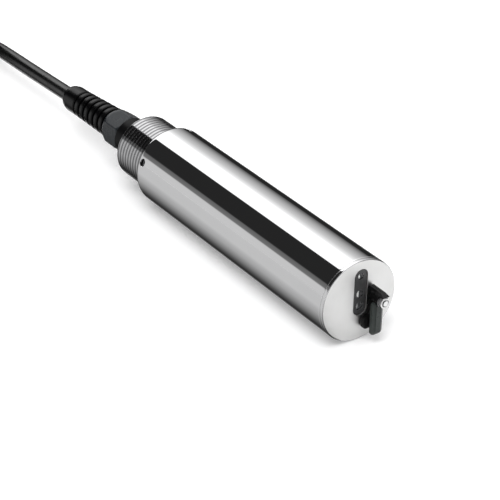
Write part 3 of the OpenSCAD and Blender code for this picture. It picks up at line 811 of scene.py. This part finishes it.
def make_windows():
    def ob(grow):
        return obround(10.6 + 2 * grow, 34.6 + 2 * grow, 32, PLATE_Y, PLATE_Z)

    outer = [(-0.8, ob(-0.3)), (-0.86, ob(-0.12)), (-1.0, ob(-0.02)), (-1.2, ob(0)), (-2.8, ob(0))]
    holes = []
    for z, r in [(LAMP_Z, 2.35), (EYE_Z[0], 3.05), (EYE_Z[1], 3.05)]:
        holes.append(
            [(-0.8, circle(r + 0.28, 56, PLATE_Y, z)), (-0.84, circle(r + 0.12, 56, PLATE_Y, z)), (-0.96, circle(r, 56, PLATE_Y, z)), (-2.8, circle(r, 56, PLATE_Y, z))]
        )
    make("window_strip", plate(outer, holes, probe), MAT["window_black"], "probe", ["window_plate"], sharp=40, merge=0.0005)

    def lens(z, r, name, nodes):
        def on(x, a, b):
            return probe(x, np.asarray(a) + PLATE_Y, np.asarray(b) + z)

        prof = [(-2.78, 0), (-2.78, r - 0.15), (-2.65, r)]
        edge = -9.35 + math.sqrt(81 - (r - 0.12) ** 2)
        prof += [(edge - 0.14, r), (edge - 0.03, r - 0.05)]
        for k in range(11):
            q = (r - 0.12) * (1 - k / 10)
            prof.append((-9.35 + math.sqrt(81 - q * q), q))
        return lathe(prof, on, 56, closed=False)

    make("lamp_glass", lens(LAMP_Z, 2.3, "lamp", None), MAT["window_glass"], "probe", ["lamp_window"], sharp=50, merge=0.001)
    make(
        "eye_glasses", join(lens(EYE_Z[0], 3.0, "a", None), lens(EYE_Z[1], 3.0, "b", None)), MAT["window_glass"], "probe",
        ["detector_windows"], sharp=50, merge=0.001,
    )

    # a curved bright crescent under each glass, on the side away from the wiper: a painted highlight, dimmer under the
    # lower eye
    def highlight_crescent(name, z, r, wide, reach, material):
        rings = []
        for k in range(25):
            u = -1 + 2 * k / 24
            a = math.pi + math.radians(reach) * u
            w = wide * max(0.05, 1 - u * u) ** 0.7
            y0, z0 = PLATE_Y + r * math.cos(a), z + r * math.sin(a)
            y1, z1 = PLATE_Y + (r - w) * math.cos(a), z + (r - w) * math.sin(a)
            rings.append(probe(np.array([-0.98, -0.86, -1.05, -1.7]), np.array([y0, (y0 + y1) / 2, y1, (y0 + y1) / 2]), np.array([z0, (z0 + z1) / 2, z1, (z0 + z1) / 2])))
        make(name, loft(rings), MAT[material], "probe", sharp=60, merge=0.0005)

    highlight_crescent("lamp_painted_highlight", LAMP_Z, 1.8, 1.35, 62, "painted_highlight")
    highlight_crescent("eye_painted_highlight_a", EYE_Z[0], 2.45, 1.8, 75, "painted_highlight")
    highlight_crescent("eye_painted_highlight_b", EYE_Z[1], 2.3, 1.3, 62, "painted_highlight_dim")

    # a shallow dark cup behind each glass, and the fine ring that holds it
    backs, bezels = [], []
    for z, r in [(LAMP_Z, 2.3), (EYE_Z[0], 3.0), (EYE_Z[1], 3.0)]:
        def on(x, a, b, z=z):
            return probe(x, np.asarray(a) + PLATE_Y, np.asarray(b) + z)

        backs.append(lathe([(-2.5, 0), (-2.46, r * 0.4), (-2.3, r * 0.75), (-1.9, r - 0.15), (-2.6, r - 0.15), (-2.72, r * 0.6), (-2.75, 0)], on, 40, closed=False))
        bezels.append(lathe([(-0.84, r + 0.06), (-0.70, r + 0.10), (-0.66, r + 0.2), (-0.70, r + 0.32), (-0.82, r + 0.38), (-0.95, r + 0.2)], on, 48))
    make("lens_cups", join(*backs), MAT["lens_back"], "probe", sharp=60, merge=0.0005)
    make("lens_rings", join(*bezels), MAT["lens_back"], "probe", sharp=60, merge=0.0005)


make_windows()


# ---------------------------------------------------------------- wiper
def smooth_min(a, b, k):
    h = np.clip(0.5 + 0.5 * (b - a) / k, 0, 1)
    return b * (1 - h) + a * h - k * h * (1 - h)


def hex_radius(t, flat, corner_at):
    """The radius of a hexagon at angle t, with half its width across the flats."""
    d = (t - corner_at + np.pi / 6 + np.pi / 6) % (np.pi / 3) - np.pi / 6
    return flat / np.cos(d)


def extrude(outline, place, d0, d1):
    """Extrudes a closed outline from d0 to d1."""
    return loft([place(outline, d0), place(outline, d1)])


def make_wiper():
    body = "wiper"
    # hub block beside the windows, narrower at its top, with its hood over the nut
    side = rounded(
        [
            (0.6, -4.0, 0.4), (0.6, 9.4, 0.7), (1.6, 10.3, 0.9), (13.8, 10.0, 1.6), (16.8, 7.95, 0.2), (16.8, PZ + 4.4, 0.15),
            (12.4, PZ + 4.4, 0.5), (12.4, PZ - 2.3, 0.4), (6.9, PZ - 2.3, 0.3), (6.9, -4.0, 0.3),
        ],
        seg=3,
    )

    def across(o, y):
        return probe(o[:, 0], np.full(len(o), y), o[:, 1])

    def narrowed(shape, knee=7.4, top=10.3):
        bm = bmesh.new()
        vs = [bm.verts.new(v) for v in shape[0]]
        for f in shape[1]:
            bm.faces.new([vs[k] for k in f])
        level = AZ + knee
        bmesh.ops.bisect_plane(bm, geom=[*bm.verts, *bm.edges, *bm.faces], dist=1e-4, plane_co=(0, 0, level), plane_no=(0, 0, 1))
        for v in bm.verts:
            t = max(0.0, (v.co.z - level) / (top - knee))
            v.co.y += 0.9 * t if v.co.y < PY else -1.7 * t
        bm.verts.index_update()
        out = np.array([tuple(v.co) for v in bm.verts]), [tuple(v.index for v in f.verts) for f in bm.faces]
        bm.free()
        return out

    hub = make("wiper_hub", narrowed(extrude(side, across, PY - 3, PY + 3)), MAT["wiper_black"], body, ["wiper_arm"], bevel=0.4)
    # a thin parting ridge along the hub's top
    ridge = rounded([(1.9, 10.0, 0.1), (13.5, 9.75, 0.1), (13.5, 10.16, 0.1), (1.9, 10.44, 0.1)], seg=2)
    make("hub_ridge", extrude(ridge, across, PY - 0.75, PY - 0.05), MAT["wiper_black"], body, bevel=0.1)

    def levels(fn, rows):
        return loft([probe(np.full(len(o), x), o[:, 0], o[:, 1]) for x, o in [(x, fn(i)) for x, i in rows]])

    arm_lo = PZ - 27.0
    mid_y = PY - 0.4
    t_lo, t_hi = arm_lo + 3.6, PZ - 2.6

    def tongue(i):
        return rrect(7.6 - 2 * i, t_hi - t_lo - 2 * i, 2 - i, 6, mid_y, (t_lo + t_hi) / 2)

    make(
        "wiper_tongue", levels(tongue, [(4.42, 0.3), (4.6, 0.08), (4.8, 0), (6.5, 0), (6.72, 0.08), (6.88, 0.3)]),
        MAT["wiper_black"], body, ["wiper_arm"],
    )
    # rubber lip, with two shallow grooves along its outer half
    lip_lo = arm_lo + 3.1
    lip = rounded(
        [(6.4, -4.1, 0.6), (13.8, -4.1, 1.2), (13.8, lip_lo, 2.6), (1.2, lip_lo, 2.6), (1.2, -11.9, 1.0), (6.4, -11.9, 0.5)], seg=5
    )

    def face(o, x):
        return probe(np.full(len(o), x), o[:, 0], o[:, 1])

    mid = lip.mean(0)

    def shrink(o, d):
        nxt, prv = np.roll(o, -1, 0), np.roll(o, 1, 0)
        t = nxt - prv
        n = np.stack([t[:, 1], -t[:, 0]], -1) / (np.linalg.norm(t, axis=1)[:, None] + 1e-9)
        out = o + n * d
        if np.abs(out - mid).sum() > np.abs(o - mid).sum():
            out = o - n * d
        return out

    rows = [(0.3, 0.75), (0.55, 0.35), (0.95, 0.1), (1.3, 0.0), (2.0, 0.0), (2.15, 0.22), (2.45, 0.22), (2.6, 0.0), (3.3, 0.0), (3.45, 0.22), (3.75, 0.22), (3.9, 0.0), (4.2, 0.05), (4.38, 0.3)]
    make("wiping_lip", loft([face(shrink(lip, d), x) for x, d in rows]), MAT["wiper_rubber"], body, ["wiper_lip"])

    # outer head: a plate, then wide chamfers up to a raised strip with a fine groove round it
    h_hi = PZ - 2.4

    def head(i):
        return rrect(9 - 2 * i, h_hi - arm_lo - 2 * i, 2.4 - 0.6 * i, 9, mid_y, (arm_lo + h_hi) / 2)

    base = levels(head, [(6.92, 0.35), (7.1, 0.1), (7.35, 0), (8.9, 0), (9.2, 0.08), (9.4, 0.3), (9.45, 0.7)])
    panel = []
    for x, half, lo, hi, r in [
        (9.2, 3.9, 0.55, 0.45, 1.9), (9.5, 3.85, 0.6, 0.5, 1.9), (10.45, 2.5, 1.7, 1.3, 1.2), (10.5, 2.4, 1.8, 1.4, 1.1),
        (10.25, 2.3, 1.9, 1.5, 1.1), (10.25, 2.15, 2.05, 1.65, 1.0), (10.62, 2.05, 2.15, 1.75, 1.0), (10.76, 1.95, 2.25, 1.85, 0.9),
        (10.8, 1.75, 2.45, 2.05, 0.8),
    ]:
        z0, z1 = arm_lo + lo, h_hi - hi
        o = rrect(2 * half, z1 - z0, r, 9, mid_y, (z0 + z1) / 2)
        panel.append(probe(np.full(len(o), x), o[:, 0], o[:, 1]))
    make("wiper_head", join(base, loft(panel)), MAT["wiper_grey"], body, ["blade_holder"], sharp=26)

    # washer, nut and the shaft's domed end
    ring = rounded([(12.42, 2.05, 0.05), (12.42, 4.1, 0.3), (13.22, 4.1, 0.3), (13.22, 2.05, 0.1)], seg=4)
    # the washer's dark steel is painted shade between the hub and the nut
    make("washer", lathe(ring, pivot, 72), MAT["shaded_dark_steel"], body, ["wiper_washer"])

    def nut(x, r, t):
        if r < 3.2:
            return np.full_like(t, r)
        return smooth_min(hex_radius(t, 3.58, 0.0), np.full_like(t, r), 0.12)

    prof = [
        (13.24, 2.05), (13.24, 3.25), (13.27, 3.7), (13.42, 3.95), (13.62, 4.1), (14.4, 4.1), (15.2, 4.1), (15.55, 4.0), (15.85, 3.7),
        (16.05, 3.4), (16.12, 3.2), (16.14, 3.0), (16.08, 2.8), (15.2, 2.62), (14.9, 2.08), (14.5, 2.05),
    ]
    o = make("shaft_nut", lathe(prof, pivot, 96, wave=nut), MAT["bright_steel"], body, ["wiper_nut"], sharp=28)
    # the flats get a darker copy of the steel, painted shade, and the end is polished
    o.data.materials.append(MAT["shaded_steel"])
    for p in o.data.polygons:
        if abs(p.normal.x) < 0.5:
            p.material_index = 1
    prof = [(-24, 0), (-24, 1.8), (-23.8, 2.0), (15.7, 2.0), (15.95, 1.98)]
    for k in range(9):
        q = 1.92 * (1 - k / 8)
        prof.append((10.8 + math.sqrt(6.2**2 - q * q), q))
    make("shaft", lathe(prof, pivot, 48, closed=False), MAT["bright_steel"], body, ["wiper_shaft"], sharp=50)
    return hub


make_wiper()


# ---------------------------------------------------------------- rear head with its helical thread
def make_thread():
    n, pitch, crest, root = 168, 3.5, 24.85, 23.15
    x0, x1 = -230.0, -266.0
    cut = [(0.00, 0.0), (0.02, 0.10), (0.15, 0.95), (0.18, 1.0), (0.62, 1.0), (0.65, 0.95), (0.78, 0.10), (0.80, 0.0)]
    ang = 2 * np.pi * np.arange(n) / n
    rings = []
    prof = [(-204.6, 16.0), (-204.5, 24.9), (-205.1, 25.42), (-229.7, 25.42), (-229.7, 23.15)]
    for x, r in prof:
        rings.append(probe(np.full(n, x), r * np.cos(ang), r * np.sin(ang)))
    turns = int(math.ceil((x0 - x1) / pitch)) + 1
    ends = [(x0 - 0.35, x0), (x1, x1 + 0.9)]
    for k in range(-1, turns):
        for ph, h in cut:
            x = x0 - (k + ph) * pitch - pitch * ang / (2 * np.pi) + 0.0
            run_in = np.clip((x0 - 0.5 - x) / 0.9, 0, 1)
            run_out = np.clip((x - x1 - 1.0) / 0.9, 0, 1)
            r = root + (crest - root) * h * np.minimum(run_in, run_out)
            x = np.clip(x, x1 + 1.0, x0 - 0.5)
            rings.append(probe(x, r * np.cos(ang), r * np.sin(ang)))
    # each ring starts where the last turn's ended, so the seam is a helix
    strip = rings[len(prof):]
    per = len(cut)
    verts = np.concatenate(strip)
    faces = []
    m = len(strip)
    for i in range(m - 1):
        for j in range(n - 1):
            faces.append((i * n + j, i * n + j + 1, (i + 1) * n + j + 1, (i + 1) * n + j))
        if i + 1 + per < m:
            a, b = i + per, i + 1 + per
            faces.append((i * n + n - 1, a * n, b * n, (i + 1) * n + n - 1))
    thread = (verts, faces)
    front = loft(rings[: len(prof)] + [probe(np.full(n, x0 - 0.5), root * np.cos(ang), root * np.sin(ang))], caps=False)
    tail = [(x1 + 1.0, root), (x1 + 0.4, root - 0.05), (x1 + 0.1, root - 0.3), (x1, root - 0.7), (x1, 15.2), (x1 + 0.05, 8.0), (-224.0, 8.0), (-224.0, 16.0), (-204.6, 16.0)]
    back = loft([probe(np.full(n, x), r * np.cos(ang), r * np.sin(ang)) for x, r in tail], caps=False)
    shape = join(thread, front, back)
    make("threaded_head", shape, MAT["thread_steel"], "probe", ["rear_head"], sharp=34, merge=0.012)


make_thread()


# ---------------------------------------------------------------- gland and boot
def make_gland():
    prof = rounded(
        [
            (-248, 6.3, 0.2), (-248, 7.9, 0.3), (-266.02, 7.9, 0.1), (-266.02, 14.9, 0.25), (-266.9, 15.0, 0.2), (-270.6, 15.0, 0.25),
            (-270.9, 14.55, 0.1), (-271.5, 14.55, 0.1), (-271.8, 15.0, 0.25), (-284.3, 15.0, 0.4), (-284.98, 14.4, 0.3),
            (-284.98, 10.3, 0.2), (-292.9, 10.3, 0.5), (-292.9, 6.3, 0.2),
        ],
        seg=3,
    )
    make("gland_collar", lathe(prof, probe, 128), MAT["gland_black"], "probe", ["gland_body"])

    def nut(x, r, t):
        if r < 11.9:
            return np.full_like(t, r)
        return smooth_min(hex_radius(t, 13.5, math.radians(87)), np.full_like(t, r), 0.35)

    prof = [
        (-285.0, 10.7), (-285.0, 13.2), (-285.08, 13.9), (-285.35, 14.35), (-285.9, 14.95), (-286.6, 15.6), (-287.6, 16.1), (-289, 16.4), (-291, 16.5),
        (-294, 16.5), (-297, 16.4), (-299, 16.05), (-301, 15.5), (-303, 14.7), (-304.8, 13.9), (-306.2, 13.15), (-307.2, 12.6), (-307.8, 12.2), (-308, 11.8),
        (-308.0, 11.2), (-307.8, 10.8), (-299, 10.7), (-291, 10.7),
    ]
    make("gland_cap", lathe(prof, probe, 192, wave=nut), MAT["gland_grey"], "probe", ["gland_nut"], sharp=48)


make_gland()
BOOT_X, BOOT_TILT, BOOT_LEN = -312.0, math.atan2(3, 63), math.hypot(63, 3)


def boot(s, a, b):
    """Along the boot, which bends down a little from the gland."""
    s, a, b = np.broadcast_arrays(np.asarray(s, float), a, b)
    c, k = math.cos(BOOT_TILT), math.sin(BOOT_TILT)
    return np.stack([FX + BOOT_X - s * c + b * k, a, AZ - s * k - b * c], -1)


def make_boot():
    prof = [(BOOT_LEN, 6.03, 0.25), (-8.0, 6.03, 0.2), (-8.0, 10.2, 0.2)]
    for i in range(6):
        a, r = -2 + 7.7 * i, (24.5 - 3.0 * i / 6) / 2
        core = 9.5 - 1.0 * (i / 6)
        prof += [(a - 0.35, 10.1 if i == 0 else core, 0.4), (a + 0.05, r, 1.0), (a + 4.45, r, 1.3), (a + 4.95, core - 0.1, 0.5)]
    prof += [(43.1, 8.55, 0.5), (43.4, 10.75, 1.1), (57.0, 10.75, 3.0), (61.0, 9.9, 2.5), (BOOT_LEN - 0.1, 8.4, 1.2)]
    make("strain_relief", lathe(rounded(prof, 0.5, seg=5), boot, 112), MAT["boot_rubber"], "probe", ["strain_boot"], sharp=60)


make_boot()


# ---------------------------------------------------------------- stage and light
def emitter(name, stops, axis):
    m, nt, out = _nodes(name)
    em = nt.nodes.new("ShaderNodeEmission")
    nt.links.new(em.outputs["Emission"], out.inputs["Surface"])
    co = nt.nodes.new("ShaderNodeTexCoord").outputs["Object"]
    sp = nt.nodes.new("ShaderNodeSeparateXYZ")
    nt.links.new(co, sp.inputs["Vector"])
    if axis == "angle":
        at = nt.nodes.new("ShaderNodeMath")
        at.operation = "ARCTAN2"
        nt.links.new(sp.outputs["Z"], at.inputs[0])
        nt.links.new(sp.outputs["Y"], at.inputs[1])
        value, top = at.outputs["Value"], math.pi
        low = 0.0
    elif isinstance(axis, tuple):
        value, low, top = sp.outputs["Y"], *axis
    else:
        value, low, top = sp.outputs["Z"], 0.0, axis
    mr = nt.nodes.new("ShaderNodeMapRange")
    mr.inputs["From Min"].default_value, mr.inputs["From Max"].default_value = low, top
    nt.links.new(value, mr.inputs["Value"])
    nt.links.new(_ramp(nt, mr.outputs["Result"], [(p, (v, v, v * 1.0)) for p, v in stops]), em.inputs["Color"])
    em.inputs["Strength"].default_value = 2.0
    return m


def staged(name, verts, faces, material, place=(0, 0, 0), unseen=True):
    me = bpy.data.meshes.new(name)
    me.from_pydata(verts, [], faces)
    me.materials.append(material)
    o = bpy.data.objects.new(name, me)
    o.location = place
    scene.collection.objects.link(o)
    if unseen:
        o.visible_camera = o.visible_diffuse = o.visible_shadow = o.visible_transmission = False
        o.visible_volume_scatter = False
    return o


def make_stage():
    floor_m, nt, out = _nodes("floor")
    bs = nt.nodes.new("ShaderNodeBsdfPrincipled")
    nt.links.new(bs.outputs["BSDF"], out.inputs["Surface"])
    co = nt.nodes.new("ShaderNodeTexCoord").outputs["Object"]
    nt.links.new(_ramp(nt, _noise(nt, co, 6), [(0.3, (0.895, 0.895, 0.9)), (0.7, (0.91, 0.91, 0.91))]), bs.inputs["Base Color"])
    bs.inputs["Roughness"].default_value = 0.9
    bs.inputs["Specular IOR Level"].default_value = 0.0
    bs.inputs["Emission Color"].default_value = (1.0, 1.0, 1.0, 1)
    bs.inputs["Emission Strength"].default_value = 0.14
    s = 6.0
    staged("floor", [(-s, -s, 0), (s, -s, 0), (s, s, 0), (-s, s, 0)], [(0, 1, 2, 3)], floor_m, unseen=False)

    # A long tent round the probe's axis: soft boxes overhead and to the far side, a dark gap
    # on the near side, and a pale near wall. Only reflections see it.
    def deg(b):
        return b / 180

    stops = [
        (0, 0.04), (10, 0.13), (25, 0.5), (45, 0.95), (55, 1.35), (64, 2.0),
        (101, 2.0), (102.5, 0.03), (148.5, 0.03), (151.5, 0.2), (160.5, 0.26), (163.5, 0.9), (180, 0.92),
    ]
    m = emitter("tent_light", [(deg(b), v / 2) for b, v in stops], "angle")
    n, rad = 60, 1.25
    verts, faces = [], []
    for k in range(n + 1):
        b = math.pi * k / n
        for x in (-1.8, 2.0):
            verts.append((x, rad * math.cos(b), rad * math.sin(b)))
    faces = [(2 * k, 2 * k + 1, 2 * k + 3, 2 * k + 2) for k in range(n)]
    # its rear end is closed in the same bands, so that edges which look backwards don't see past it
    verts.append((-1.8, 0, 0))
    faces += [(2 * k, 2 * k + 2, len(verts) - 1) for k in range(n)]
    staged("tent", verts, faces, m, (0, 0, AZ * MM))
    # a low dark card behind, which closes the far side's reflection
    m = emitter("card_light", [(0.0, 0.01), (1.0, 0.015)], 0.075)
    staged("far_card", [(-0.7, 0.19, 0.0), (0.175, 0.19, 0.0), (0.175, 0.19, 0.08), (-0.7, 0.19, 0.08)], [(0, 1, 2, 3)], m)

    # flags on the floor, seen only in reflections: the pale sweep falls away to the far side,
    # and to a dark line under the probe on the near side, a painted shadow of the probe
    far = [(0.06, 0.65), (0.10, 0.45), (0.13, 0.22), (0.165, 0.04), (0.19, 0.02)]
    m = emitter("far_flag_light", [((y - 0.06) / 0.13, v / 2) for y, v in far], (0.06, 0.19))
    staged("far_flag", [(-0.7, 0.06, 0.0006), (0.175, 0.06, 0.0006), (0.175, 0.19, 0.0006), (-0.7, 0.19, 0.0006)], [(0, 1, 2, 3)], m)
    near = [
        (-1.2, 0.9), (-0.08, 0.85), (-0.05, 0.58), (-0.038, 0.33), (-0.03, 0.13), (-0.0225, 0.01), (-0.018, 0.04), (-0.0145, 0.38),
        (-0.012, 0.45),
    ]
    m = emitter("near_flag_light", [((y + 1.2) / 1.188, v / 2) for y, v in near], (-1.2, -0.012))
    staged("near_flag", [(-0.9, -1.2, 0.0006), (0.7, -1.2, 0.0006), (0.7, -0.012, 0.0006), (-0.9, -0.012, 0.0006)], [(0, 1, 2, 3)], m)

    w = bpy.data.worlds.new("studio")
    scene.world = w
    w.use_nodes = True
    bg = w.node_tree.nodes["Background"]
    bg.inputs["Color"].default_value = (1.0, 1.0, 1.0, 1)
    bg.inputs["Strength"].default_value = 0.78
    for name, spot, size, power in [
        ("key", (0.25, -0.55, 1.35), 1.1, 13.0),
        ("fill", (-0.6, 0.75, 1.1), 1.2, 5.0),
    ]:
        ld = bpy.data.lights.new(name, "AREA")
        ld.shape, ld.size, ld.energy = "DISK", size, power
        lo = bpy.data.objects.new(name, ld)
        lo.location = spot
        lo.rotation_mode = "QUATERNION"
        lo.rotation_quaternion = (Vector((0, 0, 0)) - Vector(spot)).to_track_quat("-Z", "Y")
        lo.visible_glossy = False
        scene.collection.objects.link(lo)


make_stage()
